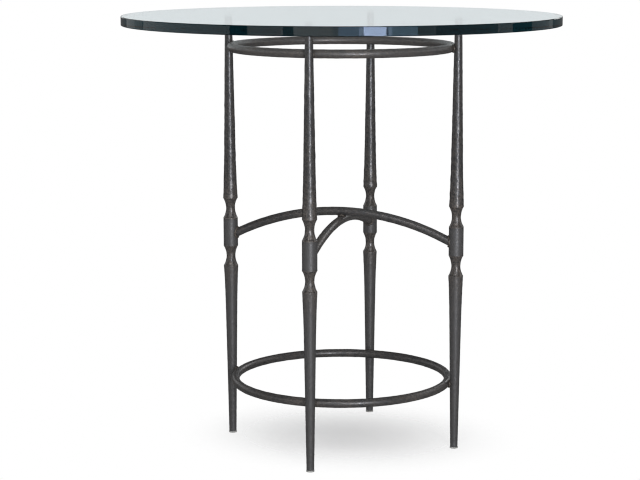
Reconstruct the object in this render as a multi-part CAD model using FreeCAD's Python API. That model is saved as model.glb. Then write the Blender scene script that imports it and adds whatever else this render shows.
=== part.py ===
import FreeCAD, Part
import math
import os

# Counter height table: a round glass top that rests on a welded base of four forged legs.
# Millimetres. Origin on the floor under the middle of the top, +Z up.
# The left and right legs stand on X, the front and back legs on Y, and the front is -Y.

# Glass top
glass_diameter = 914.4
glass_thickness = 19.05
glass_arris = 1.2

# Legs, each alike above and below its middle
leg_circle_radius = 248.0
leg_length = 889.0
leg_tip_diameter = 15.8
leg_collar_diameter = 31.0
leg_collar_length = 61.0
leg_cove_length = 43.0
leg_neck_diameter = 19.0
leg_shoulder_diameter = 31.0
leg_flare_length = 96.0
leg_flare_diameter = 24.8

# Round bar of the rings and arches
bar_diameter = 18.0
upper_ring_drop = 43.5
lower_ring_rise = 137.0
main_arch_rise = 55.0
arch_seat_drop = 1.0

# Weld beads, and the gap left between bars that touch side by side
weld_throat = 3.0
weld_chamfer = 1.8
weld_root_gap = 0.2

# Clear bumpers between the leg tops and the glass
bumper_diameter = 12.7
bumper_height = 3.175
bumper_crown = 0.6
bumper_stem_diameter = 5.0
bumper_stem_length = 8.0

# Levelling glides: a nylon base moulded round the head of a steel stud
glide_diameter = 17.0
glide_height = 3.175
glide_edge_round = 0.8
glide_floor = 1.0
stud_diameter = 6.0
stud_length = 20.0
stud_head_diameter = 11.0
stud_head_height = 1.2
stud_point = 0.8

# Blind holes in the leg ends
hole_clearance = 0.05
hole_spare_depth = 3.0
drill_point_angle = 118.0

# Values worked out from the sizes above
leg_bottom = glide_height
leg_top = leg_bottom + leg_length
leg_middle = leg_bottom + leg_length / 2
glass_bottom = leg_top + bumper_height
bar_radius = bar_diameter / 2
collar_radius = leg_collar_diameter / 2
collar_half = leg_collar_length / 2
shoulder_offset = collar_half + leg_cove_length
flare_offset = shoulder_offset + leg_flare_length
upper_ring_height = leg_top - upper_ring_drop
lower_ring_height = leg_bottom + lower_ring_rise
arch_seat_height = leg_middle - arch_seat_drop
arch_seat_reach = leg_circle_radius - collar_radius
cross_arch_rise = main_arch_rise - bar_diameter - weld_root_gap

UP = FreeCAD.Vector(0, 0, 1)
ACROSS = FreeCAD.Vector(1, 0, 0)
LEG_PLACES = {
    "left": FreeCAD.Vector(-leg_circle_radius, 0, 0),
    "right": FreeCAD.Vector(leg_circle_radius, 0, 0),
    "front": FreeCAD.Vector(0, -leg_circle_radius, 0),
    "back": FreeCAD.Vector(0, leg_circle_radius, 0),
}


def point(radius, height):
    """A point of a profile in the XZ plane."""
    return FreeCAD.Vector(radius, 0, height)


def turned(edges):
    """Turn the closed profile that some edges make about Z."""
    profile = Part.Wire(Part.sortEdges(edges)[0])
    return Part.Face(profile).revolve(FreeCAD.Vector(), UP, 360)


def line(start, end):
    return Part.LineSegment(start, end).toShape()


def closed_lines(points):
    return [line(a, b) for a, b in zip(points, points[1:] + points[:1])]


def flare_pole_radius():
    """Radius of the middle pole of the flare's curve, on the line of the taper run on downwards."""
    taper_length = leg_length / 2 - flare_offset
    slope = (leg_flare_diameter - leg_tip_diameter) / 2 / taper_length
    return leg_flare_diameter / 2 + slope * leg_flare_length / 2


def leg_radius(height):
    """Radius of a leg's taper or flare at a height above the floor."""
    offset = abs(height - leg_middle)
    if offset >= flare_offset:
        share = (leg_length / 2 - offset) / (leg_length / 2 - flare_offset)
        return (leg_tip_diameter + share * (leg_flare_diameter - leg_tip_diameter)) / 2
    share = (flare_offset - offset) / leg_flare_length
    return ((1 - share)**2 * leg_flare_diameter / 2
            + 2 * share * (1 - share) * flare_pole_radius()
            + share**2 * leg_shoulder_diameter / 2)


def leg_profile():
    """The edges of a leg's profile: collar, coves, flares, tapers, ends and axis."""
    def place(radius, offset):
        return point(radius, leg_middle + offset)

    collar = place(collar_radius, collar_half)
    neck = place(leg_neck_diameter / 2, (collar_half + shoulder_offset) / 2)
    shoulder = place(leg_shoulder_diameter / 2, shoulder_offset)
    flare_end = place(leg_flare_diameter / 2, flare_offset)
    flare = Part.BezierCurve()
    flare.setPoles([shoulder, place(flare_pole_radius(), (shoulder_offset + flare_offset) / 2), flare_end])
    tip = place(leg_tip_diameter / 2, leg_length / 2)
    upper = [
        Part.Arc(collar, neck, shoulder).toShape(),
        flare.toShape(),
        line(flare_end, tip),
        line(tip, place(0, leg_length / 2)),
    ]
    lower = [edge.mirror(place(0, 0), UP) for edge in upper]
    collar_side = line(place(collar_radius, -collar_half), collar)
    axis = line(place(0, -leg_length / 2), place(0, leg_length / 2))
    return upper + lower + [collar_side, axis]


def blind_hole(diameter, depth):
    """A drilled hole that starts at the origin and goes up, with its pointed end."""
    radius = diameter / 2
    point_height = radius / math.tan(math.radians(drill_point_angle / 2))
    return turned(closed_lines([
        point(0, 0),
        point(radius, 0),
        point(radius, depth),
        point(0, depth + point_height),
    ]))


def make_leg():
    """One forged leg on the Z axis, drilled at the foot for the stud and at the top for the bumper."""
    leg = turned(leg_profile())
    foot_hole = blind_hole(stud_diameter + 2 * hole_clearance, stud_length + hole_spare_depth)
    foot_hole.translate(UP * leg_bottom)
    top_hole = blind_hole(bumper_stem_diameter + 2 * hole_clearance, bumper_stem_length + hole_spare_depth)
    top_hole.rotate(FreeCAD.Vector(), ACROSS, 180)
    top_hole.translate(UP * leg_top)
    return leg.cut(foot_hole).cut(top_hole)


def ring_radius(height):
    """Centreline radius of a ring that lies inside the legs with the weld's root gap."""
    return leg_circle_radius - leg_radius(height) - bar_radius - weld_root_gap


def make_ring(height, thickening=0.0):
    """A ring bent from round bar, welded inside the four legs."""
    ring = Part.makeTorus(ring_radius(height), bar_radius + thickening)
    ring.translate(UP * height)
    return ring


def make_arch(rise, thickening=0.0):
    """An arch along X whose centreline meets the collars at the seat and runs on to the leg axes."""
    centre_drop = (arch_seat_reach**2 - rise**2) / (2 * rise)
    radius = centre_drop + rise
    centre = FreeCAD.Vector(0, 0, arch_seat_height - centre_drop)
    half_angle = math.degrees(math.asin(leg_circle_radius / radius))
    apex = centre + UP * radius
    section = Part.Face(Part.Wire(Part.Circle(apex, ACROSS, bar_radius + thickening).toShape()))
    section.rotate(centre, FreeCAD.Vector(0, 1, 0), -half_angle)
    return section.revolve(centre, FreeCAD.Vector(0, 1, 0), 2 * half_angle)


def turned_across(shape):
    """A copy of a shape, turned from the X direction to the Y direction."""
    copy = shape.copy()
    copy.rotate(FreeCAD.Vector(), UP, 90)
    return copy


def cut_by(shape, others):
    for other in others:
        shape = shape.cut(other)
    return shape


def single(shape):
    """The one solid of a result, without the compound around it."""
    return max(shape.Solids, key=lambda solid: solid.Volume)


def ring_welds(ring, height, legs):
    """The beads that fill the hollow between a ring and each leg."""
    thick_ring = make_ring(height, weld_throat)
    half_height = bar_diameter + weld_throat
    beads = []
    for name, place in LEG_PLACES.items():
        sleeve = Part.makeCone(
            leg_radius(height - half_height) + weld_throat,
            leg_radius(height + half_height) + weld_throat,
            2 * half_height,
            place + UP * (height - half_height))
        beads.append(single(cut_by(thick_ring.common(sleeve), [ring, legs[name]])))
    return Part.makeCompound(beads)


def arch_end_welds(arch, thick_arch, leg_names, legs):
    """The bead round each end of an arch, against the collar, with its corner taken off."""
    beads = []
    for name in leg_names:
        sleeve = Part.makeCylinder(
            collar_radius + weld_throat,
            leg_collar_length,
            LEG_PLACES[name] + UP * (leg_middle - collar_half))
        blank = thick_arch.common(sleeve)
        bead = single(cut_by(blank, [legs[name], arch]))
        corner = [edge for edge in bead.Edges if is_clear_of(edge, (legs[name], arch))]
        beads.append(bead.makeChamfer(weld_chamfer, corner))
    return Part.makeCompound(beads)


def is_clear_of(edge, pieces):
    """Whether the middle of an edge stands well off every one of some pieces."""
    middle = Part.Vertex(edge.valueAt((edge.FirstParameter + edge.LastParameter) / 2))
    return all(piece.distToShape(middle)[0] > weld_throat / 2 for piece in pieces)


def make_glass():
    disc = Part.makeCylinder(glass_diameter / 2, glass_thickness, UP * glass_bottom)
    rims = [edge for edge in disc.Edges if isinstance(edge.Curve, Part.Circle)]
    return disc.makeChamfer(glass_arris, rims)


def make_bumper():
    """A clear bumper with its stem in the leg and its crown under the glass."""
    stem = bumper_stem_diameter / 2
    head = bumper_diameter / 2
    return turned(closed_lines([
        point(0, leg_top - bumper_stem_length),
        point(stem, leg_top - bumper_stem_length),
        point(stem, leg_top),
        point(head, leg_top),
        point(head, glass_bottom - bumper_crown),
        point(head - bumper_crown, glass_bottom),
        point(0, glass_bottom),
    ]))


def make_stud():
    """A stud whose head sits inside the glide, with its shank up in the leg."""
    shank = stud_diameter / 2
    head = stud_head_diameter / 2
    tip = leg_bottom + stud_length
    return turned(closed_lines([
        point(0, glide_floor),
        point(head, glide_floor),
        point(head, glide_floor + stud_head_height),
        point(shank, glide_floor + stud_head_height),
        point(shank, tip - stud_point),
        point(shank - stud_point, tip),
        point(0, tip),
    ]))


def make_glide(stud):
    """The nylon base, moulded round the stud's head, with its lower edge rounded."""
    disc = Part.makeCylinder(glide_diameter / 2, glide_height)
    lower_rim = [edge for edge in disc.Edges
                 if isinstance(edge.Curve, Part.Circle) and edge.Curve.Center.z < glide_height / 2]
    return disc.makeFillet(glide_edge_round, lower_rim).cut(stud)


def at_place(shape, place):
    copy = shape.copy()
    copy.translate(place)
    return copy


def build():
    """Every piece of the table by name."""
    leg = make_leg()
    legs = {name: at_place(leg, place) for name, place in LEG_PLACES.items()}
    stud = make_stud()
    glide = make_glide(stud)
    bumper = make_bumper()

    pieces = {"glass_top": make_glass()}
    for name, place in LEG_PLACES.items():
        pieces[name + "_leg"] = legs[name]
        pieces[name + "_bumper"] = at_place(bumper, place)
        pieces[name + "_glide_base"] = at_place(glide, place)
        pieces[name + "_glide_stud"] = at_place(stud, place)

    for ring_name, height in (("upper_ring", upper_ring_height), ("lower_ring", lower_ring_height)):
        ring = make_ring(height)
        pieces[ring_name] = ring
        pieces[ring_name + "_welds"] = ring_welds(ring, height, legs)

    main_arch = single(cut_by(make_arch(main_arch_rise), [legs["left"], legs["right"]]))
    cross_arch = single(cut_by(turned_across(make_arch(cross_arch_rise)), [legs["front"], legs["back"]]))
    thick_main = make_arch(main_arch_rise, weld_throat)
    thick_cross = turned_across(make_arch(cross_arch_rise, weld_throat))
    pieces["main_arch"] = main_arch
    pieces["cross_arch"] = cross_arch
    pieces["main_arch_welds"] = arch_end_welds(main_arch, thick_main, ("left", "right"), legs)
    pieces["cross_arch_welds"] = arch_end_welds(cross_arch, thick_cross, ("front", "back"), legs)
    pieces["crossing_weld"] = single(cut_by(thick_main.common(thick_cross), [main_arch, cross_arch]))
    return pieces


os.makedirs("parts", exist_ok=True)
for node, shape in build().items():
    shape.exportStep("parts/" + node + ".step")
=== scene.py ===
"""Looks of the counter height table: a thick clear top on a welded base of hammered iron."""
import logging
import math
from collections.abc import Callable
from dataclasses import dataclass
from enum import Enum

import bmesh
import bpy
from mathutils import Matrix, Vector, noise


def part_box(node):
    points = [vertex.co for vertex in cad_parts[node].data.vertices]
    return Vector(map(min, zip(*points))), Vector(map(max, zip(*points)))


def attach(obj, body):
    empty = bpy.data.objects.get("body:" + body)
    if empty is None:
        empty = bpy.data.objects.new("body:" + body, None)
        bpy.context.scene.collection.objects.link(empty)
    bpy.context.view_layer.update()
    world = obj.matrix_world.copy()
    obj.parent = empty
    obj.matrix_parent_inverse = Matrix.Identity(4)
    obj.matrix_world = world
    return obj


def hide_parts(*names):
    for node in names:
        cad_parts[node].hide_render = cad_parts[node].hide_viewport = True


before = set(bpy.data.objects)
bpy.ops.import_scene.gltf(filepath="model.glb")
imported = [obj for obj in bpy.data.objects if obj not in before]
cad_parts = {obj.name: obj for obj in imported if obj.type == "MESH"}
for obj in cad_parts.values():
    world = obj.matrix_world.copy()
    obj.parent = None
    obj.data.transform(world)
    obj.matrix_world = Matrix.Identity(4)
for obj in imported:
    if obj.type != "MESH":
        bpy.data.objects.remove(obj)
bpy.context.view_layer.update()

LOG = logging.getLogger("counter_height_table")
# Per-point shares: rub is real wear, partly painted light on the upper ring and cross arch; crust dulls a
# piece and paints it paler, as painted light
RUB = "rub"
CRUST_AND_PAINTED_LIGHT = "crust_and_painted_light"
MM = 0.001
MERGE = 0.002 * MM
SHARP = math.radians(60)
TABLE_REACH = 1.0
UP = Vector((0, 0, 1))

Colour = tuple[float, float, float]
Range = tuple[float, float]
Socket = bpy.types.NodeSocket
Mesh = bmesh.types.BMesh


class Slot(Enum):
    """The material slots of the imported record."""

    FORGED_IRON = "forged_iron"
    WELD_METAL = "weld_metal"
    CLEAR_GLASS = "clear_glass"
    CLEAR_VINYL = "clear_vinyl"
    NYLON = "nylon"
    ZINC_STEEL = "zinc_steel"


class Side(Enum):
    """The four legs, each with the direction in which it stands from the middle."""

    LEFT = Vector((-1, 0, 0))
    RIGHT = Vector((1, 0, 0))
    FRONT = Vector((0, -1, 0))
    BACK = Vector((0, 1, 0))

    @property
    def word(self) -> str:
        """The side's name as the nodes spell it."""
        return self.name.lower()


class NodeSheet:
    """The node tree of a finish or of the room, with short calls for the nodes that they share."""

    def __init__(self, owner: bpy.types.Material | bpy.types.World) -> None:
        """Start with an empty tree.

        Args:
            owner: the material or world that the tree is for.
        """
        self.owner = owner
        owner.use_nodes = True
        self.tree = owner.node_tree
        self.tree.nodes.clear()
        kind = "World" if isinstance(owner, bpy.types.World) else "Material"
        self.output = self.add("ShaderNodeOutput" + kind)
        self.place = self.add("ShaderNodeTexCoord").outputs["Object"]

    def add(self, kind: str, **settings: object) -> bpy.types.Node:
        """Add a node.

        Args:
            kind: the node's type name.
            settings: properties to set on it.

        Returns:
            The new node.
        """
        node = self.tree.nodes.new(kind)
        for key, value in settings.items():
            setattr(node, key, value)
        return node

    def join(self, source: Colour | float | Socket, target: Socket) -> None:
        """Link a value that is worked out to a socket, or set a constant on it.

        Args:
            source: the value: another socket, a colour or a number.
            target: the socket that takes it.
        """
        if isinstance(source, Socket):
            self.tree.links.new(source, target)
        elif isinstance(source, tuple):
            target.default_value = (*source, 1.0)
        else:
            target.default_value = source

    def grain(self, size: float, detail: float = 3.0) -> Socket:
        """Soft random grain on the piece's own coordinates.

        Args:
            size: the rough width of one spot, in metres.
            detail: how many finer layers are added.

        Returns:
            The grain's value, about 0.3 to 0.7.
        """
        texture = self.add("ShaderNodeTexNoise")
        for name, value in (("Scale", 1 / size), ("Detail", detail), ("Vector", self.place)):
            self.join(value, texture.inputs[name])
        return texture.outputs["Fac"]

    def reading(self, attribute: str) -> Socket:
        """A value that each point of the piece holds, such as how far it is rubbed."""
        return self.add("ShaderNodeAttribute", attribute_name=attribute).outputs["Fac"]

    def spread(self, value: Socket, old: Range, new: Range, ease: str = "LINEAR") -> Socket:
        """Map one range of a value to another, and hold it there.

        Args:
            value: the value to map.
            old: the range it comes in.
            new: the range it goes out in.
            ease: how it goes from one end of the range to the other.

        Returns:
            The mapped value.
        """
        node = self.add("ShaderNodeMapRange", interpolation_type=ease)
        self.join(value, node.inputs["Value"])
        for name, number in zip(("From Min", "From Max", "To Min", "To Max"), (*old, *new)):
            self.join(number, node.inputs[name])
        return node.outputs["Result"]

    def patches(self, size: float, edges: Range, new: Range = (0, 1), detail: float = 3.0) -> Socket:
        """Grain that is spread into patches, such as cloudy and clear ones."""
        return self.spread(self.grain(size, detail), edges, new)

    def combined(self, operation: str, first: Socket, second: Socket) -> Socket:
        """Work one value out of two, and hold it between 0 and 1.

        Args:
            operation: the operation, as the Math node names it.
            first: the first value.
            second: the second value.

        Returns:
            The new value.
        """
        node = self.add("ShaderNodeMath", operation=operation, use_clamp=True)
        self.join(first, node.inputs[0])
        self.join(second, node.inputs[1])
        return node.outputs["Value"]

    def product(self, first: Socket, second: Socket) -> Socket:
        """One value times another."""
        return self.combined("MULTIPLY", first, second)

    def mixed(self, share: Socket, first: Colour | Socket, second: Colour | Socket) -> Socket:
        """Mix two colours.

        Args:
            share: how much of the second colour shows.
            first: the colour at a share of 0.
            second: the colour at a share of 1.

        Returns:
            The mixed colour.
        """
        node = self.add("ShaderNodeMix", data_type="RGBA")
        self.join(share, node.inputs["Factor"])
        sockets = [socket for socket in node.inputs if socket.type == "RGBA"]
        for socket, colour in zip(sockets, (first, second)):
            self.join(colour, socket)
        return next(socket for socket in node.outputs if socket.type == "RGBA")

    def raised(self, height: Socket, depth: float) -> Socket:
        """Turn a height into a bumped normal.

        Args:
            height: the height, from 0 to 1.
            depth: how far 1 stands above 0, in metres.

        Returns:
            The bumped normal.
        """
        node = self.add("ShaderNodeBump")
        self.join(depth, node.inputs["Distance"])
        self.join(height, node.inputs["Height"])
        return node.outputs["Normal"]

    def surface(self, **values: Colour | float | Socket) -> None:
        """Put a principled shader on the surface.

        Args:
            values: what its sockets take, by their names with _ for a blank.
        """
        shader = self.add("ShaderNodeBsdfPrincipled")
        for name, value in values.items():
            self.join(value, shader.inputs[name.replace("_", " ")])
        self.join(shader.outputs["BSDF"], self.output.inputs["Surface"])


@dataclass(frozen=True)
class ForgedIron:
    """Dark patina on hammered iron, mottled cool and warm, rubbed paler on its high spots, and painted
    paler on its duller, less hammered parts as painted light.
    """

    name: str = "forged_iron_patina"
    cool: Colour = (0.0155, 0.0159, 0.0172)
    warm: Colour = (0.0195, 0.0186, 0.0180)
    # Paler colour of the crusted parts: painted light that lifts the collars, lower shafts and bars
    painted_light_crust_colour: Colour = (0.050, 0.0491, 0.0491)
    rubbed: Colour = (0.165, 0.140, 0.121)
    sheen: Colour = (0.98, 0.975, 1.0)
    bared: float = 0.55
    gloss: Range = (0.25, 0.42)
    polished: float = 0.72
    dulled: float = 1.4
    mottle: float = 34 * MM
    mottle_edges: Range = (0.38, 0.62)
    fleck: float = 3.5 * MM
    fleck_edges: Range = (0.38, 0.60)
    fleck_share: Range = (0.1, 1)
    cloud: float = 5 * MM
    cloud_edges: Range = (0.34, 0.66)
    scale_grain: float = 2.4 * MM
    scale_depth: float = 0.045 * MM

    def make(self) -> bpy.types.Material:
        """Build the finish.

        Returns:
            The new material.
        """
        sheet = NodeSheet(bpy.data.materials.new(self.name))
        patch = sheet.patches(self.mottle, self.mottle_edges, detail=4)
        crust_and_painted_light = sheet.reading(CRUST_AND_PAINTED_LIGHT)
        # Painted light: the crust mixes the paler colour into the ground
        ground = sheet.mixed(crust_and_painted_light, sheet.mixed(patch, self.cool, self.warm), self.painted_light_crust_colour)
        breaks = sheet.patches(self.fleck, self.fleck_edges, self.fleck_share)
        # Real rub, and on the upper ring and cross arch partly painted light
        worn_and_painted_light = sheet.product(sheet.reading(RUB), breaks)
        gloss = sheet.patches(self.cloud, self.cloud_edges, self.gloss)
        polish = sheet.spread(worn_and_painted_light, (0, 1), (1, self.polished))
        dull = sheet.spread(crust_and_painted_light, (0, 1), (1, self.dulled))
        sheet.surface(
            Base_Color=sheet.mixed(worn_and_painted_light, ground, self.rubbed),
            Metallic=sheet.spread(worn_and_painted_light, (0, 1), (0, self.bared)),
            Roughness=sheet.product(sheet.product(gloss, polish), dull),
            Specular_IOR_Level=1.0,
            Specular_Tint=self.sheen,
            Normal=sheet.raised(sheet.grain(self.scale_grain, 4), self.scale_depth))
        return sheet.owner


@dataclass(frozen=True)
class WeldMetal:
    """A bead under the same patina, rubbed through to a brown sheen on its ripples."""

    name: str = "weld_bead_patina"
    dark: Colour = (0.048, 0.044, 0.041)
    brown: Colour = (0.125, 0.102, 0.084)
    gloss: Range = (0.32, 0.55)
    fleck: float = 3 * MM
    fleck_edges: Range = (0.36, 0.62)
    fleck_share: Range = (0.1, 1)
    cloud: float = 2 * MM
    cloud_edges: Range = (0.3, 0.7)
    pit: float = 0.7 * MM
    pit_depth: float = 0.06 * MM

    def make(self) -> bpy.types.Material:
        """Build the finish.

        Returns:
            The new material.
        """
        sheet = NodeSheet(bpy.data.materials.new(self.name))
        breaks = sheet.patches(self.fleck, self.fleck_edges, self.fleck_share, detail=4)
        sheet.surface(
            Base_Color=sheet.mixed(sheet.product(sheet.reading(RUB), breaks), self.dark, self.brown),
            Metallic=0.35,
            Roughness=sheet.patches(self.cloud, self.cloud_edges, self.gloss),
            Specular_IOR_Level=0.6,
            Normal=sheet.raised(sheet.grain(self.pit), self.pit_depth))
        return sheet.owner


@dataclass(frozen=True)
class ClearGlass:
    """Thick float glass that takes out more red than blue along its depth."""

    name: str = "clear_float_glass"
    passed: Colour = (0.19, 0.475, 0.515)
    density: float = 10.0
    haze: float = 0.012
    haze_patch: float = 180 * MM
    haze_edges: Range = (0.35, 0.65)

    def make(self) -> bpy.types.Material:
        """Build the finish.

        Returns:
            The new material.
        """
        sheet = NodeSheet(bpy.data.materials.new(self.name))
        haze = sheet.patches(self.haze_patch, self.haze_edges, (0, self.haze), detail=2)
        sheet.surface(Base_Color=(1, 1, 1), Roughness=haze, Transmission_Weight=1.0, IOR=1.52)
        body = sheet.add("ShaderNodeVolumeAbsorption")
        sheet.join(self.passed, body.inputs["Color"])
        sheet.join(self.density, body.inputs["Density"])
        sheet.join(body.outputs["Volume"], sheet.output.inputs["Volume"])
        return sheet.owner


@dataclass(frozen=True)
class ClearVinyl:
    """Soft clear vinyl with a faint cloud in it."""

    name: str = "clear_vinyl"
    clear: Colour = (0.90, 0.92, 0.91)
    cloudy: Colour = (0.76, 0.79, 0.78)
    gloss: Range = (0.18, 0.32)
    cloud: float = 3 * MM
    cloud_edges: Range = (0.35, 0.65)

    def make(self) -> bpy.types.Material:
        """Build the finish.

        Returns:
            The new material.
        """
        sheet = NodeSheet(bpy.data.materials.new(self.name))
        cloud = sheet.patches(self.cloud, self.cloud_edges)
        sheet.surface(
            Base_Color=sheet.mixed(cloud, self.clear, self.cloudy),
            Roughness=sheet.spread(cloud, (0, 1), self.gloss),
            Transmission_Weight=0.85,
            IOR=1.49)
        return sheet.owner


@dataclass(frozen=True)
class MouldedNylon:
    """Grey moulded nylon with paler scuffs."""

    name: str = "moulded_nylon"
    grey: Colour = (0.225, 0.225, 0.215)
    scuffed: Colour = (0.36, 0.355, 0.34)
    gloss: Range = (0.42, 0.62)
    scuff: float = 2.5 * MM
    scuff_edges: Range = (0.4, 0.62)
    pore: float = 0.5 * MM
    pore_depth: float = 0.03 * MM

    def make(self) -> bpy.types.Material:
        """Build the finish.

        Returns:
            The new material.
        """
        sheet = NodeSheet(bpy.data.materials.new(self.name))
        scuff = sheet.patches(self.scuff, self.scuff_edges, detail=4)
        sheet.surface(
            Base_Color=sheet.mixed(scuff, self.grey, self.scuffed),
            Roughness=sheet.spread(scuff, (0, 1), self.gloss),
            Specular_IOR_Level=0.45,
            Normal=sheet.raised(sheet.grain(self.pore, 2), self.pore_depth))
        return sheet.owner


@dataclass(frozen=True)
class ZincPlate:
    """Bright zinc plate with a fine spangle."""

    name: str = "zinc_plate"
    bright: Colour = (0.66, 0.67, 0.67)
    dull: Colour = (0.47, 0.48, 0.49)
    gloss: Range = (0.24, 0.42)
    spangle: float = 1.2 * MM
    spangle_edges: Range = (0.36, 0.64)

    def make(self) -> bpy.types.Material:
        """Build the finish.

        Returns:
            The new material.
        """
        sheet = NodeSheet(bpy.data.materials.new(self.name))
        spangle = sheet.patches(self.spangle, self.spangle_edges, detail=4)
        sheet.surface(
            Base_Color=sheet.mixed(spangle, self.bright, self.dull),
            Metallic=1.0,
            Roughness=sheet.spread(spangle, (0, 1), self.gloss))
        return sheet.owner


@dataclass(frozen=True)
class PaperFloor:
    """White paper, mirrored dimly and not seen from below, whose shade under the table is real light cut to
    a painted round patch with white mixed in.
    """

    name: str = "paper_floor"
    white: Colour = (0.86, 0.86, 0.86)
    shade: Colour = (0.84, 0.84, 0.845)
    mirrored: Colour = (0.22, 0.22, 0.22)
    fibre: float = 0.2
    fibre_edges: Range = (0.35, 0.65)
    shade_least: float = 0.24
    shade_end: float = 0.39
    shade_back: float = 0.045
    shade_narrow: float = 1.25
    fade_start: float = 1.6
    fade_end: float = 3.2

    def make(self) -> bpy.types.Material:
        """Build the finish.

        Returns:
            The new material.
        """
        sheet = NodeSheet(bpy.data.materials.new(self.name))
        paper = sheet.add("ShaderNodeBsdfDiffuse")
        fibre = sheet.patches(self.fibre, self.fibre_edges)
        seen = sheet.mixed(fibre, self.white, self.shade)
        rays = sheet.add("ShaderNodeLightPath").outputs
        direct = sheet.combined("MAXIMUM", rays["Is Camera Ray"], rays["Is Transmission Ray"])
        in_mirror = sheet.combined("SUBTRACT", rays["Is Glossy Ray"], rays["Is Transmission Ray"])
        sheet.join(sheet.mixed(in_mirror, seen, self.mirrored), paper.inputs["Color"])
        distance = sheet.add("ShaderNodeVectorMath", operation="LENGTH")
        sheet.join(sheet.place, distance.inputs[0])
        gone = sheet.spread(distance.outputs["Value"], (self.fade_start, self.fade_end), (0, 1))
        narrow = sheet.add("ShaderNodeMapping")
        narrow.inputs["Scale"].default_value = (1, self.shade_narrow, 1)
        narrow.inputs["Location"].default_value = (0, -self.shade_narrow * self.shade_back, 0)
        sheet.join(sheet.place, narrow.inputs["Vector"])
        reach = sheet.add("ShaderNodeVectorMath", operation="LENGTH")
        sheet.join(narrow.outputs["Vector"], reach.inputs[0])
        # Painted shadow: a round mask, set back and narrowed, keeps the lit paper only under the table and
        # mixes white into its middle
        clear = sheet.spread(
            reach.outputs["Value"], (0, self.shade_end), (self.shade_least, 1), "SMOOTHSTEP")
        below = sheet.add("ShaderNodeNewGeometry").outputs["Backfacing"]
        unseen = sheet.product(sheet.combined("MAXIMUM", clear, below), direct)
        fade = sheet.add("ShaderNodeMixShader")
        sheet.join(sheet.combined("MAXIMUM", gone, unseen), fade.inputs["Fac"])
        sheet.join(paper.outputs["BSDF"], fade.inputs[1])
        sheet.join(sheet.add("ShaderNodeBsdfTransparent").outputs["BSDF"], fade.inputs[2])
        sheet.join(fade.outputs["Shader"], sheet.output.inputs["Surface"])
        return sheet.owner


def set_down(mesh: Mesh, name: str, finish: bpy.types.Material) -> bpy.types.Object:
    """Turn a mesh into an object at the origin.

    Args:
        mesh: the mesh, which is freed.
        name: the object's name.
        finish: its material.

    Returns:
        The new object.
    """
    data = bpy.data.meshes.new(name)
    mesh.to_mesh(data)
    mesh.free()
    data.materials.append(finish)
    thing = bpy.data.objects.new(name, data)
    bpy.context.scene.collection.objects.link(thing)
    return thing


@dataclass
class Workshop:
    """Turns finished meshes into pieces of the table."""

    finishes: dict[Slot, bpy.types.Material]

    def hand_over(
        self, mesh: Mesh, name: str, body: str, node: str, slot: Slot, crease: float = 38.0
    ) -> bpy.types.Object:
        """Close a mesh, shade it, and make it a piece that stands for a node.

        Args:
            mesh: the mesh, which is freed.
            name: the piece's name.
            body: the body that the piece rides on.
            node: the node that it replaces.
            slot: its material slot.
            crease: the angle in degrees past which an edge is sharp.

        Returns:
            The new object.
        """
        bmesh.ops.remove_doubles(mesh, verts=mesh.verts, dist=MERGE)
        bmesh.ops.recalc_face_normals(mesh, faces=mesh.faces)
        for face in mesh.faces:
            face.smooth = True
        for edge in mesh.edges:
            edge.smooth = edge.calc_face_angle(0.0) < math.radians(crease)
        piece = set_down(mesh, name, self.finishes[slot])
        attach(piece, body)
        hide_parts(node)
        LOG.info("%s stands for %s: %d faces", name, node, len(piece.data.polygons))
        return piece


def turn(outline: list[tuple[float, float]], axis: Vector, steps: int) -> Mesh:
    """Turn an outline about an upright axis.

    Args:
        outline: radius and height of each corner, in metres.
        axis: a point on the axis, at height 0.
        steps: how many sides a full turn has.

    Returns:
        The turned mesh.
    """
    mesh = bmesh.new()
    corners = [mesh.verts.new(axis + Vector((radius, 0, height))) for radius, height in outline]
    sides = [mesh.edges.new(pair) for pair in zip(corners, corners[1:])]
    bmesh.ops.spin(
        mesh, geom=corners + sides, cent=axis, axis=UP, angle=math.tau, steps=steps, use_merge=True)
    bmesh.ops.remove_doubles(mesh, verts=mesh.verts, dist=MERGE)
    return mesh


def round_bar(
    axis: Vector, low: float, high: float, radius: float, sides: int, cuts: int = 0
) -> Mesh:
    """Make an upright round bar, cut across at even steps.

    Args:
        axis: a point on the bar's axis, at height 0.
        low: height of its lower end.
        high: height of its upper end.
        radius: its radius.
        sides: how many sides it has.
        cuts: how often it is cut across.

    Returns:
        The bar.
    """
    mesh = bmesh.new()
    length = high - low
    bmesh.ops.create_cone(
        mesh, cap_ends=True, segments=sides, radius1=radius, radius2=radius, depth=length,
        matrix=Matrix.Translation(axis + UP * (low + high) / 2))
    uprights = [edge for edge in mesh.edges if abs(edge.verts[0].co.z - edge.verts[1].co.z) > length / 2]
    if cuts:
        bmesh.ops.subdivide_edges(mesh, edges=uprights, cuts=cuts, use_grid_fill=True)
    return mesh


def soften(mesh: Mesh, width: float, segments: int = 3) -> None:
    """Round every sharp edge of a mesh.

    Args:
        mesh: the mesh to change.
        width: how far the rounding reaches on each side, in metres.
        segments: how many flats make up the rounding.
    """
    sharp = [edge for edge in mesh.edges if edge.calc_face_angle(0.0) > SHARP]
    bmesh.ops.bevel(
        mesh, geom=sharp, offset=width, affect="EDGES", segments=segments, profile=0.5, material=-1)


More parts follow.
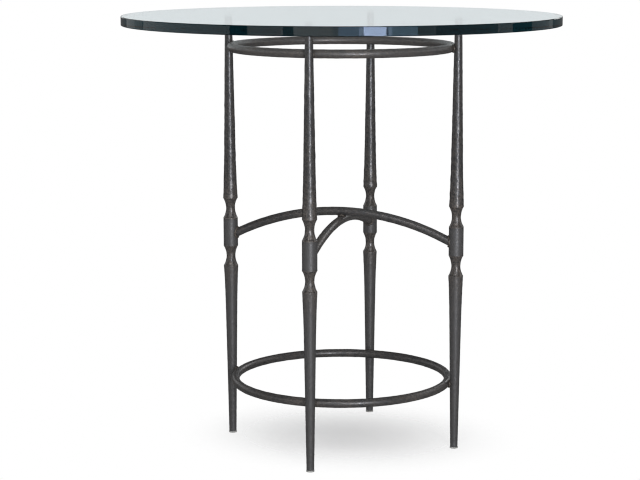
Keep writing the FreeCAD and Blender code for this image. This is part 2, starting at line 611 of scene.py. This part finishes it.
@dataclass(frozen=True)
class HammerBlows:
    """Hammer blows that leave a surface in shallow bowls with ridges between them."""

    width: float = 6 * MM
    depth: float = 0.7 * MM
    stretch: float = 1.5
    bowl_sunk: float = 0.3
    ridge_slope: float = 3.0
    sway: float = 0.3 * MM
    sway_length: float = 11 * MM

    def at(self, place: Vector, seed: Vector) -> tuple[float, float]:
        """The work of the hammer at one place.

        Args:
            place: a point of the surface.
            seed: shifts the pattern, so that no two pieces are alike.

        Returns:
            How far the surface stands out, in metres, and how much of a ridge it is, from 0 to 1.
        """
        spot = Vector((place.x, place.y, place.z / self.stretch))
        distances, _ = noise.voronoi(spot / self.width + seed)
        bowl = min(distances[0], 1.0)**2 - self.bowl_sunk
        ridge = max(0.0, 1 - self.ridge_slope * (distances[1] - distances[0]))
        swing = noise.noise(spot / self.sway_length + seed)
        return self.depth * bowl + self.sway * swing, ridge


@dataclass
class ForgedLeg:
    """One leg: two hammered spindles, two coved necks and a plain collar, forged from round bar."""

    side: Side
    workshop: Workshop
    blows: HammerBlows = HammerBlows()
    collar_radius: float = 15.5 * MM
    collar_half: float = 30.5 * MM
    cove_length: float = 43 * MM
    neck_radius: float = 9.5 * MM
    shoulder_radius: float = 15.5 * MM
    flare_length: float = 96 * MM
    flare_radius: float = 12.4 * MM
    tip_radius: float = 7.9 * MM
    end_round: float = 0.5 * MM
    foot_hole_radius: float = 3.05 * MM
    foot_hole_depth: float = 23 * MM
    top_hole_radius: float = 2.55 * MM
    top_hole_depth: float = 11 * MM
    drill_point: float = 1.6 * MM
    collar_effort: float = 0.16
    collar_edge: float = 6 * MM
    spindle_effort: float = 0.95
    tip_calm: float = 0.5
    foot_effort: float = 0.34
    neck_effort: float = 0.3
    neck_reach: float = 60 * MM
    trued_end: float = 14 * MM
    warm_reach: float = 95 * MM
    warm_rub: float = 0.4
    collar_warmth: float = 0.25
    ridge_rub: float = 0.35
    arris_rub: float = 0.8
    arris_reach: float = 1.6 * MM
    spindle_crust_and_painted_light: float = 0.05
    pattern_step: Vector = Vector((3.1, 7.7, 1.9))
    sides: int = 72
    step: float = 1.3 * MM
    edge_support: float = 0.45 * MM
    cut_snap: float = 0.01 * MM

    def __post_init__(self) -> None:
        """Take the leg's place and length from its node."""
        self.node = self.side.word + "_leg"
        low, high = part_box(self.node)
        self.bottom = low.z
        self.top = high.z
        self.middle = (low.z + high.z) / 2
        self.axis = Vector(((low.x + high.x) / 2, (low.y + high.y) / 2, 0))
        self.shoulder = self.collar_half + self.cove_length
        self.flare_end = self.shoulder + self.flare_length
        self.seed = self.pattern_step * (list(Side).index(self.side) + 1)

    def radius(self, height: float) -> float:
        """The leg's radius before it is hammered.

        Args:
            height: height above the floor.

        Returns:
            The radius, in metres.
        """
        offset = abs(height - self.middle)
        if offset <= self.collar_half:
            return self.collar_radius
        if offset <= self.shoulder:
            half = self.cove_length / 2
            depth = self.collar_radius - self.neck_radius
            sweep = (half**2 + depth**2) / (2 * depth)
            return self.neck_radius + sweep - math.sqrt(sweep**2 - (offset - self.collar_half - half)**2)
        taper = (self.top - self.middle) - self.flare_end
        slope = (self.flare_radius - self.tip_radius) / taper
        straight = self.flare_radius + slope * (self.flare_end - offset)
        if offset >= self.flare_end:
            return straight
        rest = self.shoulder_radius - self.flare_radius - slope * self.flare_length
        return straight + rest * ((self.flare_end - offset) / self.flare_length)**2

    def effort(self, height: float) -> float:
        """How hard the hammer has worked at a height.

        Args:
            height: height above the floor.

        Returns:
            A share, from 0 at the trued ends to about 1 at the necks.
        """
        offset = height - self.middle
        ends = min(1.0, (self.top - self.middle - abs(offset)) / self.trued_end)
        if abs(offset) <= self.collar_half:
            edge = (self.collar_half - abs(offset)) / self.collar_edge
            return self.collar_effort + self.neck_effort * max(0.0, 1 - edge)
        if offset < -self.shoulder:
            near = max(0.0, 1 + (offset + self.shoulder) / self.neck_reach)
            return ends * (self.foot_effort + self.neck_effort * near)
        climb = max(0.0, offset - self.shoulder) / (self.top - self.middle - self.shoulder)
        return ends * (self.spindle_effort - self.tip_calm * climb)

    def rubbing(self, height: float, ridge: float) -> float:
        """How far the patina is rubbed off.

        Args:
            height: height above the floor.
            ridge: how much of a ridge the place is.

        Returns:
            A share, largest on the crisp edges and next on the ridges towards the necks.
        """
        offset = abs(height - self.middle)
        arris = min(abs(offset - edge) for edge in (self.collar_half, self.shoulder))
        crisp = max(0.0, 1 - arris / self.arris_reach)
        near = max(0.0, 1 - max(0.0, offset - self.shoulder) / self.warm_reach)
        if offset < self.collar_half:
            near = self.collar_warmth
        ridges = (self.ridge_rub + self.warm_rub * near) * ridge
        return max(self.arris_rub * crisp, ridges, self.warm_rub * near**2)

    def blank(self) -> Mesh:
        """Make a straight round bar, cut across at even steps and close to each crisp edge.

        Returns:
            The bar.
        """
        cuts = round((self.top - self.bottom) / self.step)
        mesh = round_bar(self.axis, self.bottom, self.top, self.tip_radius, self.sides, cuts)
        for offset in (self.collar_half, self.shoulder):
            for shift in (-self.edge_support, 0, self.edge_support):
                for side in (-1, 1):
                    bmesh.ops.bisect_plane(
                        mesh, geom=mesh.verts[:] + mesh.edges[:] + mesh.faces[:], dist=self.cut_snap,
                        plane_co=UP * (self.middle + side * (offset + shift)), plane_no=UP)
        return mesh

    def forge(self, mesh: Mesh) -> None:
        """Draw the bar out to its outline and hammer it.

        Args:
            mesh: the straight bar, which is changed.
        """
        rub = mesh.verts.layers.float.new(RUB)
        crust_and_painted_light = mesh.verts.layers.float.new(CRUST_AND_PAINTED_LIGHT)
        for vert in mesh.verts:
            height = vert.co.z
            outward = (vert.co - self.axis - UP * height).normalized()
            plain = self.radius(height)
            rise, ridge = self.blows.at(outward * plain + UP * height, self.seed)
            effort = self.effort(height)
            vert.co = self.axis + outward * (plain + effort * rise) + UP * height
            vert[rub] = self.rubbing(height, effort * ridge)
            # The crust both dulls the less hammered parts and paints them paler, as painted light
            vert[crust_and_painted_light] = self.spindle_crust_and_painted_light if height > self.middle + self.shoulder else 1 - effort

    @staticmethod
    def end_face(mesh: Mesh, level: float) -> bmesh.types.BMFace:
        """The face that closes the bar at a height."""
        return min(mesh.faces, key=lambda face: abs(face.calc_center_median().z - level))

    def drill(self, mesh: Mesh) -> None:
        """Round the two ends and drill them for the stud and for the bumper's stem.

        Args:
            mesh: the forged bar, which is changed.
        """
        for level, inward, radius, depth in (
                (self.bottom, UP, self.foot_hole_radius, self.foot_hole_depth),
                (self.top, -UP, self.top_hole_radius, self.top_hole_depth)):
            rim = self.end_face(mesh, level).edges[:]
            bmesh.ops.bevel(
                mesh, geom=rim, offset=self.end_round, affect="EDGES", segments=2, profile=0.5, material=-1)
            end = self.end_face(mesh, level)
            wall = self.tip_radius - self.end_round - radius
            bmesh.ops.inset_individual(mesh, faces=[end], thickness=wall)
            floor = bmesh.ops.extrude_discrete_faces(mesh, faces=[end])["faces"]
            bmesh.ops.translate(mesh, verts=floor[0].verts[:], vec=inward * depth)
            bmesh.ops.poke(mesh, faces=floor, offset=-self.drill_point)

    def build(self) -> None:
        """Make the leg."""
        mesh = self.blank()
        self.forge(mesh)
        self.drill(mesh)
        self.workshop.hand_over(
            mesh, self.node + "_forging", "base_frame", self.node, Slot.FORGED_IRON, crease=50)


@dataclass
class BentBar:
    """Round bar bent cold to an even curve, with only light tool marks."""

    workshop: Workshop
    node: str
    blows: HammerBlows = HammerBlows(width=10 * MM, depth=0.2 * MM, stretch=1.0, sway=0.25 * MM)
    # Crust dulls the bar and paints it paler, as painted light
    crust_and_painted_light: float = 0.3
    # Rubbed colour painted over the whole bar as painted light, none unless set
    painted_light_rub: float = 0.0
    ridge_rub: float = 0.3
    patch_rub: float = 0.5
    pattern_shift: tuple[float, float] = (0.4, 2.7)
    patch_length: float = 70 * MM
    sides: int = 28
    pace: float = 3 * MM

    def mark(self, mesh: Mesh, centre_of: Callable[[Vector], Vector]) -> None:
        """Leave the marks of the bending tools on the bar, and paint it paler as painted light.

        Args:
            mesh: the bent bar, which is changed.
            centre_of: gives the nearest point of the bar's centreline.
        """
        rub = mesh.verts.layers.float.new(RUB)
        crust_and_painted_light = mesh.verts.layers.float.new(CRUST_AND_PAINTED_LIGHT)
        seed = Vector((len(self.node), *self.pattern_shift))
        for vert in mesh.verts:
            rise, ridge = self.blows.at(vert.co, seed)
            patch = max(0.0, noise.noise(vert.co / self.patch_length + seed))
            vert[rub] = self.painted_light_rub + self.ridge_rub * ridge + self.patch_rub * patch
            vert[crust_and_painted_light] = self.crust_and_painted_light
            vert.co += (vert.co - centre_of(vert.co)).normalized() * rise


@dataclass
class BarRing(BentBar):
    """A closed ring of round bar inside the four legs."""

    def build(self) -> None:
        """Make the ring from the sizes of its node."""
        low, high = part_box(self.node)
        bar = (high.z - low.z) / 2
        radius = (high.x - low.x) / 2 - bar
        level = UP * (high.z + low.z) / 2
        mesh = bmesh.new()
        upright = Matrix.Translation(level + Vector((radius, 0, 0))) @ Matrix.Rotation(math.pi / 2, 4, "X")
        bmesh.ops.create_circle(mesh, segments=self.sides, radius=bar, matrix=upright)
        bmesh.ops.spin(
            mesh, geom=mesh.verts[:] + mesh.edges[:], cent=level, axis=UP, angle=math.tau,
            steps=round(math.tau * radius / self.pace), use_merge=True)

        def centre_of(place: Vector) -> Vector:
            """The nearest point of the ring's centreline."""
            return level + Vector((place.x, place.y, 0)).normalized() * radius

        self.mark(mesh, centre_of)
        self.workshop.hand_over(mesh, self.node + "_bar", "base_frame", self.node, Slot.FORGED_IRON)


@dataclass(kw_only=True)
class BarArch(BentBar):
    """An arch of round bar whose ends run into the collars of two opposite legs."""

    span: Vector
    seat_drop: float = 1 * MM
    tuck: float = 5.5 * MM

    def measure(self, leg: ForgedLeg) -> None:
        """Work out the arch's curve from its node and a leg that carries it.

        Args:
            leg: one of the legs that it meets.
        """
        low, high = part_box(self.node)
        self.across = UP.cross(self.span)
        self.bar = abs((high - low).dot(self.across)) / 2
        self.apex = high.z - self.bar
        self.reach = leg.axis.length - leg.collar_radius
        self.seat = leg.middle - self.seat_drop
        rise = self.apex - self.seat
        self.bend = (self.reach**2 + rise**2) / (2 * rise)
        self.centre = UP * (self.apex - self.bend)
        self.end_slope = math.asin(self.reach / self.bend)

    def centre_of(self, place: Vector) -> Vector:
        """Find the nearest point of the arch's centreline.

        Args:
            place: a point on or near the bar.

        Returns:
            The point of the centreline.
        """
        flat = place - self.centre
        flat -= self.across * flat.dot(self.across)
        return self.centre + flat.normalized() * self.bend

    def build(self) -> None:
        """Make the arch."""
        half = math.asin((self.reach + self.tuck) / self.bend)
        mesh = bmesh.new()
        facing = self.span.to_track_quat("Z", "Y").to_matrix().to_4x4()
        bmesh.ops.create_circle(
            mesh, segments=self.sides, radius=self.bar, matrix=Matrix.Translation(UP * self.apex) @ facing)
        bmesh.ops.rotate(
            mesh, verts=mesh.verts, cent=self.centre, matrix=Matrix.Rotation(half, 3, self.across))
        bmesh.ops.spin(
            mesh, geom=mesh.verts[:] + mesh.edges[:], cent=self.centre, axis=self.across, angle=-2 * half,
            steps=round(2 * half * self.bend / self.pace))
        bmesh.ops.holes_fill(mesh, edges=[edge for edge in mesh.edges if edge.is_boundary], sides=0)
        self.mark(mesh, self.centre_of)
        self.workshop.hand_over(mesh, self.node + "_bar", "base_frame", self.node, Slot.FORGED_IRON)


@dataclass
class WeldRun:
    """A closed run of weld metal laid round a joint, rippled as each drop set on the last."""

    centre: Vector
    along: Vector
    across: Vector
    loop: float = 7 * MM
    bead: float = 2.1 * MM
    ripples: int = 15
    ripple_depth: float = 0.1
    ripple_drift: float = 0.12
    lump: float = 0.05
    lump_scale: float = 420.0
    lump_seed: float = 900.0
    rub_least: float = 0.35
    sides: int = 14
    steps: int = 90

    @property
    def facing(self) -> Vector:
        """The direction in which the joint faces."""
        return self.along.cross(self.across)

    def spoke(self, angle: float) -> Vector:
        """The direction from the middle of the joint at an angle from along towards across."""
        return self.along * math.cos(angle) + self.across * math.sin(angle)

    def path(self, angle: float) -> Vector:
        """The middle of the run at an angle round the joint."""
        return self.centre + self.spoke(angle) * self.loop

    def lay(self, mesh: Mesh, rub: bmesh.types.BMLayerItem) -> None:
        """Add the run to a mesh.

        Args:
            mesh: the mesh to add it to.
            rub: the layer that says how far each point is rubbed.
        """
        facing = self.facing
        stand = Matrix.Translation(Vector((self.loop, 0, 0))) @ Matrix.Rotation(math.pi / 2, 4, "X")
        section = bmesh.ops.create_circle(
            mesh, segments=self.sides, radius=self.bead, matrix=stand)["verts"]
        before = set(mesh.verts) - set(section)
        edges = {edge for vert in section for edge in vert.link_edges}
        bmesh.ops.spin(
            mesh, geom=section + list(edges), cent=Vector(), axis=UP, angle=math.tau, steps=self.steps,
            use_merge=True)
        for vert in mesh.verts:
            if vert in before:
                continue
            angle = math.atan2(vert.co.y, vert.co.x)
            out = math.hypot(vert.co.x, vert.co.y) - self.loop
            lean = (angle / math.tau * self.ripples + self.ripple_drift * math.sin(3 * angle)) % 1.0
            lump = self.lump * noise.noise(self.centre * self.lump_seed + vert.co * self.lump_scale)
            swell = 1 + self.ripple_depth * (0.5 - lean) + lump
            vert[rub] = self.rub_least + (1 - self.rub_least) * (1 - lean)
            vert.co = self.path(angle) + (self.spoke(angle) * out + facing * vert.co.z) * swell


@dataclass(kw_only=True)
class CrossedBarRun(WeldRun):
    """The run in the hollow between two round bars that cross and touch."""

    along_radius: float
    across_radius: float

    def path(self, angle: float) -> Vector:
        """The middle of the run, which lies halfway between the two curved bars.

        Args:
            angle: the angle from along towards across.

        Returns:
            The point, in metres.
        """
        flat = super().path(angle)
        below = self.along_radius - math.sqrt(self.along_radius**2 - (self.loop * math.sin(angle))**2)
        above = self.across_radius - math.sqrt(self.across_radius**2 - (self.loop * math.cos(angle))**2)
        return flat + self.facing * (above - below) / 2


@dataclass(kw_only=True)
class CollarRun(WeldRun):
    """The run round the end of an arch, against the collar that it meets."""

    slope: float
    collar_radius: float = ForgedLeg.collar_radius

    def path(self, angle: float) -> Vector:
        """The middle of the run, which follows the round collar and the sloping bar.

        Args:
            angle: the angle from along towards across.

        Returns:
            The point, in metres.
        """
        sideways = self.loop * math.cos(angle)
        inward = self.collar_radius - math.sqrt(self.collar_radius**2 - sideways**2)
        upward = self.loop * math.sin(angle) / math.cos(self.slope) - inward * math.tan(self.slope)
        return self.centre + self.along * sideways + self.across * upward - self.facing * inward


@dataclass
class BaseWelds:
    """All the weld runs of the base, in one piece for each kind of joint."""

    workshop: Workshop
    legs: dict[Side, ForgedLeg]
    root_gap: float = 0.2 * MM
    collar_proud: float = 0.5 * MM
    collar_bead: float = 2.3 * MM
    collar_ripples: int = 22

    def join_runs(self, node: str, runs: list[WeldRun]) -> None:
        """Lay some runs as one piece.

        Args:
            node: the node that they stand for.
            runs: the runs.
        """
        mesh = bmesh.new()
        rub = mesh.verts.layers.float.new(RUB)
        for run in runs:
            run.lay(mesh, rub)
        self.workshop.hand_over(mesh, node + "_beads", "base_frame", node, Slot.WELD_METAL, crease=60)

    def at_ring(self, ring: str) -> None:
        """Weld a ring to the four legs.

        Args:
            ring: the ring's node.
        """
        low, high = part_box(ring)
        level = (low.z + high.z) / 2
        reach = (high.x - low.x) / 2 + self.root_gap / 2
        bar = (high.z - low.z) / 2
        runs = []
        for side, leg in self.legs.items():
            runs.append(CrossedBarRun(
                centre=side.value * reach + UP * level, along=UP.cross(side.value), across=UP,
                along_radius=bar, across_radius=leg.radius(level)))
        self.join_runs(ring + "_welds", runs)

    def at_arch(self, arch: BarArch) -> None:
        """Weld the two ends of an arch to their collars.

        Args:
            arch: the measured arch.
        """
        runs = []
        for outward in (-arch.span, arch.span):
            inward = -outward
            runs.append(CollarRun(
                centre=outward * (arch.reach - self.collar_proud) + UP * arch.seat, along=UP.cross(inward),
                across=UP, loop=arch.bar + self.collar_proud, bead=self.collar_bead,
                ripples=self.collar_ripples, slope=arch.end_slope))
        self.join_runs(arch.node + "_welds", runs)

    def at_crossing(self, upper: BarArch, lower: BarArch) -> None:
        """Weld the two arches together where they cross.

        Args:
            upper: the arch on top.
            lower: the arch below it.
        """
        level = (upper.apex - upper.bar + lower.apex + lower.bar) / 2
        run = CrossedBarRun(
            centre=UP * level, along=lower.span, across=-upper.span,
            along_radius=lower.bar, across_radius=upper.bar)
        self.join_runs("crossing_weld", [run])


@dataclass
class GlassTop:
    """The round top: one disc of thick glass with a polished edge and narrow arrises."""

    workshop: Workshop
    node: str = "glass_top"
    arris: float = 1.2 * MM
    sides: int = 480

    def build(self) -> None:
        """Make the disc from the sizes of its node."""
        low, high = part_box(self.node)
        mesh = round_bar(Vector(), low.z, high.z, high.x, self.sides)
        soften(mesh, self.arris, segments=2)
        disc = self.workshop.hand_over(mesh, "glass_disc", "top", self.node, Slot.CLEAR_GLASS, crease=15)
        # Light from above falls through the clear glass onto the base
        disc.visible_shadow = False


@dataclass
class BumperPad:
    """A clear bumper between a leg's top and the glass, with its stem in the leg."""

    workshop: Workshop
    leg: ForgedLeg
    stem_radius: float = 2.5 * MM
    rim: float = 0.5 * MM
    dish: float = 0.3 * MM
    dish_rim: float = 0.45
    dish_floor: float = 0.3
    sides: int = 40

    def build(self) -> None:
        """Make the bumper from the sizes of its node."""
        node = self.leg.side.word + "_bumper"
        low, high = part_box(node)
        head = (high.x - low.x) / 2
        outline = [
            (0, low.z),
            (self.stem_radius, low.z),
            (self.stem_radius, self.leg.top),
            (head, self.leg.top),
            (head, high.z),
            (self.dish_rim * head, high.z),
            (self.dish_floor * head, high.z - self.dish),
            (0, high.z - self.dish),
        ]
        mesh = turn(outline, self.leg.axis, self.sides)
        soften(mesh, self.rim)
        self.workshop.hand_over(mesh, node + "_pad", "base_frame", node, Slot.CLEAR_VINYL)


@dataclass
class LevellingGlide:
    """A nylon foot moulded round the head of a threaded stud, which screws up into the leg."""

    workshop: Workshop
    leg: ForgedLeg
    foot_round: float = 0.4 * MM
    foot_dish: float = 0.25 * MM
    dish_rim: float = 0.6
    dish_floor: float = 0.5
    foot_sides: int = 64
    head_sides: int = 48
    head_height: float = 1.2 * MM
    head_clear: float = 0.02 * MM
    head_round: float = 0.2 * MM
    shank: float = 3 * MM
    pitch: float = 1 * MM
    thread_depth: float = 0.5 * MM
    thread_sides: int = 32
    thread_steps: int = 10
    thread_clear: float = 2 * MM
    lead: float = 1.5 * MM

    def make_foot(self) -> None:
        """Make the nylon foot, with the hollow for the stud's head."""
        node = self.leg.side.word + "_glide_base"
        low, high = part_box(node)
        stud_low, stud_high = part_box(self.leg.side.word + "_glide_stud")
        radius = (high.x - low.x) / 2
        head = (stud_high.x - stud_low.x) / 2
        outline = [
            (0, low.z + self.foot_dish),
            (self.dish_floor * radius, low.z + self.foot_dish),
            (self.dish_rim * radius, low.z),
            (radius, low.z),
            (radius, high.z),
            (head + self.foot_dish, high.z),
            (head, high.z - self.foot_dish),
            (head, stud_low.z),
            (0, stud_low.z),
        ]
        mesh = turn(outline, self.leg.axis, self.foot_sides)
        soften(mesh, self.foot_round)
        self.workshop.hand_over(mesh, node + "_foot", self.body, node, Slot.NYLON)

    def make_stud(self) -> None:
        """Make the stud: a flat head and a shank with a rolled thread."""
        node = self.leg.side.word + "_glide_stud"
        low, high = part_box(node)
        head = (high.x - low.x) / 2 - self.head_clear
        head_top = low.z + self.head_height
        cuts = round((high.z - head_top) / self.pitch * self.thread_steps)
        mesh = round_bar(self.leg.axis, head_top, high.z, self.shank, self.thread_sides, cuts)
        for vert in mesh.verts:
            spoke = vert.co - self.leg.axis
            turns = spoke.z / self.pitch - math.atan2(spoke.y, spoke.x) / math.tau
            groove = 1 - abs(2 * (turns % 1.0) - 1)
            fade = min(1.0, max(0.0, (spoke.z - head_top - self.thread_clear) / self.lead))
            taper = min(1.0, max(0.0, 1 - (high.z - spoke.z) / self.lead))
            cut = self.thread_depth * max(fade * groove, taper)
            flat = Vector((spoke.x, spoke.y, 0))
            vert.co -= flat.normalized() * cut
        outline = [(0, low.z), (head, low.z), (head, head_top), (0, head_top)]
        shoulder = turn(outline, self.leg.axis, self.head_sides)
        soften(shoulder, self.head_round)
        plate = bpy.data.meshes.new("stud_head")
        shoulder.to_mesh(plate)
        shoulder.free()
        mesh.from_mesh(plate)
        bpy.data.meshes.remove(plate)
        self.workshop.hand_over(mesh, node + "_thread", self.body, node, Slot.ZINC_STEEL, crease=50)

    @property
    def body(self) -> str:
        """The body that the foot and the stud ride on."""
        return self.leg.side.word + "_glide"

    def build(self) -> None:
        """Make the foot and the stud."""
        self.make_foot()
        self.make_stud()


@dataclass(frozen=True)
class Softbox:
    """A flat soft light that faces the middle of the table, level unless it hangs over it."""

    name: str
    bearing: float
    distance: float
    height: float
    width: float
    tall: float
    radiance: float
    tint: Colour = (1, 1, 1)
    mirrored: bool = True

    def hang(self) -> None:
        """Put the light in its place: its bearing turns from the front towards the right."""
        lamp = bpy.data.lights.new(self.name, "AREA")
        lamp.shape = "RECTANGLE"
        lamp.size = self.width
        lamp.size_y = self.tall
        lamp.energy = self.radiance * math.pi * self.width * self.tall
        lamp.color = self.tint
        holder = bpy.data.objects.new(self.name, lamp)
        turned = math.radians(self.bearing)
        holder.location = Vector((
            math.sin(turned) * self.distance, -math.cos(turned) * self.distance, self.height))
        level = self.height if self.distance > TABLE_REACH else 0.0
        holder.rotation_euler = (UP * level - holder.location).to_track_quat("-Z", "Y").to_euler()
        holder.visible_camera = False
        holder.visible_glossy = self.mirrored
        holder.visible_transmission = False
        bpy.context.scene.collection.objects.link(holder)
        LOG.info("%s hangs at bearing %.0f", self.name, self.bearing)


@dataclass
class Studio:
    """The pale floor, the white room, the soft lights and the camera."""

    floor_radius: float = 3.3
    floor_sides: int = 96
    room_white: float = 1.25
    room_level: float = 0.04
    overhead: Range = (0.42, 0.56)
    overhead_lost: float = 0.75
    eye: Vector = Vector((1.004, -3.760, 1.093))
    tilt: float = 10.58
    lens: float = 104.3
    sensor: float = 36.0
    image_width: float = 640.0
    axis_right: float = 21.65
    axis_below: float = 33.87
    # Each light's name, bearing, distance, height, width, tall side, radiance and tint
    softboxes: tuple[Softbox, ...] = (
        Softbox("ceiling", 0, 0.02, 3.5, 6.0, 6.0, 0.7, mirrored=False),
        Softbox("front_fill", 15.0, 5.0, 1.4, 4.0, 2.4, 4.6, (0.97, 0.98, 1.0), mirrored=False),
        Softbox("key_low", 31.0, 3.6, 0.32, 0.744, 0.64, 12.5, (1.0, 0.99, 0.99)),
        Softbox("key_high", 31.0, 3.6, 1.02, 0.744, 0.44, 17.0, (1.0, 0.99, 0.99)),
        Softbox("key_top", 36.0, 3.6, 2.75, 1.0, 1.0, 4.5, (1.0, 0.99, 0.99)),
        Softbox("key_wing", 48.5, 3.6, 0.7, 1.46, 1.4, 0.40, (0.9, 0.96, 1.0)),
        Softbox("flash", 30.3, 3.5, 0.72, 0.64, 0.16, 10.0, (0.557, 0.70, 1.0)),
        Softbox("flash_edge", 30.6, 3.4, 0.72, 0.92, 0.16, 1.8, (0.557, 0.70, 1.0)),
        Softbox("flash_lead", 19.3, 3.5, 0.72, 0.72, 0.16, 1.15, (0.3, 0.58, 1.0)),
        Softbox("flash_trail", 43.7, 3.5, 0.72, 0.87, 0.16, 1.5, (0.4, 0.7, 1.0)),
        Softbox("front_panel", 8.9, 3.6, 0.6, 2.1, 1.2, 0.8, (0.85, 0.93, 1.0)),
        Softbox("front_strip", 1.8, 3.5, 0.72, 1.13, 0.16, 0.28, (1.0, 0.9, 0.7)),
        Softbox("front_gap", -10.5, 3.5, 0.72, 0.40, 0.16, 0.16, (0.8, 0.95, 1.0)),
        Softbox("front_high", 2.0, 3.5, 2.75, 1.5, 1.0, 4.2, (1.0, 0.98, 0.97)),
        Softbox("side_panel", -21.2, 3.6, 1.13, 1.115, 0.94, 0.60),
        Softbox("side_low", -21.2, 3.6, 0.33, 1.115, 0.66, 0.30),
        Softbox("left_wall", -70.7, 3.6, 1.13, 4.3, 0.94, 0.56),
        Softbox("left_low", -70.7, 3.6, 0.33, 4.3, 0.66, 0.20),
        Softbox("left_tip", -113.0, 3.5, 0.72, 1.46, 0.2, 0.27),
        Softbox("right_low", 75.0, 3.6, 0.3, 3.0, 0.6, 0.3),
        Softbox("right_strip", 78.0, 3.5, 0.72, 2.4, 0.16, 0.16, (1.0, 0.85, 0.8)),
        Softbox("right_card", 100.8, 3.6, 0.8, 0.66, 1.6, 0.42, (1.0, 0.95, 0.93)),
        Softbox("right_tip", 134.5, 3.5, 0.72, 1.55, 0.2, 0.25),
        Softbox("right_high", 130.0, 3.6, 2.9, 2.4, 1.2, 1.2),
        Softbox("back_strip", 195.0, 3.6, 1.085, 6.0, 0.24, 0.76, (0.94, 0.98, 1.0)),
        Softbox("back_wall", 195.0, 3.6, 0.5, 9.0, 0.8, 0.08),
        Softbox("back_fill", 195.0, 5.0, 0.8, 4.0, 1.6, 5.0, mirrored=False),
        Softbox("back_key", 195.0, 3.6, 0.32, 0.744, 0.64, 1.2),
        Softbox("back_glint", 162.0, 3.5, 1.75, 1.2, 1.1, 2.4),
        Softbox("back_left", -118.0, 3.6, 1.6, 3.0, 1.5, 0.6),
        Softbox("back_right", 118.0, 3.6, 1.6, 2.4, 1.5, 0.6),
    )

    def lay_floor(self) -> None:
        """Lay the paper floor."""
        mesh = bmesh.new()
        bmesh.ops.create_circle(mesh, cap_ends=True, segments=self.floor_sides, radius=self.floor_radius)
        floor = set_down(mesh, "floor", PaperFloor().make())

    def paint_room(self) -> None:
        """Make the room white where it is seen, also through the glass, and dim where it is mirrored."""
        world = bpy.data.worlds.new("white_room")
        bpy.context.scene.world = world
        sheet = NodeSheet(world)
        rays = sheet.add("ShaderNodeLightPath").outputs
        toward = sheet.add("ShaderNodeSeparateXYZ")
        sheet.join(sheet.place, toward.inputs[0])
        overhead = sheet.spread(toward.outputs["Z"], self.overhead, (0, self.overhead_lost))
        lost = sheet.product(rays["Glossy Depth"], overhead)
        through = sheet.combined("SUBTRACT", rays["Is Transmission Ray"], lost)
        choice = sheet.add("ShaderNodeMixShader")
        sheet.join(sheet.combined("MAXIMUM", rays["Is Camera Ray"], through), choice.inputs["Fac"])
        for place, strength in ((1, self.room_level), (2, self.room_white)):
            light = sheet.add("ShaderNodeBackground")
            sheet.join(strength, light.inputs["Strength"])
            sheet.join(light.outputs["Background"], choice.inputs[place])
        sheet.join(choice.outputs["Shader"], sheet.output.inputs["Surface"])

    def place_camera(self) -> None:
        """Put the camera where the picture was taken from."""
        data = bpy.data.cameras.new("camera")
        data.sensor_width = self.sensor
        data.lens = self.lens
        data.shift_x = -self.axis_right / self.image_width
        data.shift_y = self.axis_below / self.image_width
        camera = bpy.data.objects.new("camera", data)
        camera.location = self.eye
        heading = math.atan2(self.eye.x, -self.eye.y)
        camera.rotation_euler = (math.pi / 2 - math.radians(self.tilt), 0, heading)
        bpy.context.scene.collection.objects.link(camera)
        bpy.context.scene.camera = camera

    def set_picture(self) -> None:
        """Set how light becomes a picture: plain tones, crisp edges and enough bounces for thick glass."""
        scene = bpy.context.scene
        scene.view_settings.view_transform = "Standard"
        scene.view_settings.look = "None"
        scene.cycles.filter_width = 1.2
        scene.cycles.max_bounces = 24
        scene.cycles.transmission_bounces = 20
        scene.cycles.glossy_bounces = 12
        scene.cycles.caustics_refractive = False
        scene.cycles.caustics_reflective = False

    def build(self) -> None:
        """Set up the whole studio."""
        self.lay_floor()
        self.paint_room()
        for softbox in self.softboxes:
            softbox.hang()
        self.place_camera()
        self.set_picture()


def main() -> None:
    """Build every sub-assembly in order, logging how many faces each piece has."""
    logging.basicConfig(level=logging.INFO, format="%(message)s")
    workshop = Workshop({
        Slot.FORGED_IRON: ForgedIron().make(),
        Slot.WELD_METAL: WeldMetal().make(),
        Slot.CLEAR_GLASS: ClearGlass().make(),
        Slot.CLEAR_VINYL: ClearVinyl().make(),
        Slot.NYLON: MouldedNylon().make(),
        Slot.ZINC_STEEL: ZincPlate().make(),
    })
    legs = {side: ForgedLeg(side, workshop) for side in Side}
    # Painted light: the upper ring and cross arch are made paler and more rubbed, standing in for light
    # from above
    paler = {"crust_and_painted_light": 0.6, "painted_light_rub": 0.15}
    rings = (BarRing(workshop, "upper_ring", **paler), BarRing(workshop, "lower_ring"))
    main_arch = BarArch(workshop, "main_arch", span=Side.RIGHT.value)
    cross_arch = BarArch(workshop, "cross_arch", span=Side.BACK.value, **paler)
    main_arch.measure(legs[Side.RIGHT])
    cross_arch.measure(legs[Side.BACK])
    welds = BaseWelds(workshop, legs)
    for leg in legs.values():
        leg.build()
        BumperPad(workshop, leg).build()
        LevellingGlide(workshop, leg).build()
    for ring in rings:
        ring.build()
        welds.at_ring(ring.node)
    for arch in (main_arch, cross_arch):
        arch.build()
        welds.at_arch(arch)
    welds.at_crossing(main_arch, cross_arch)
    GlassTop(workshop).build()
    Studio().build()


if __name__ == "__main__":
    main()
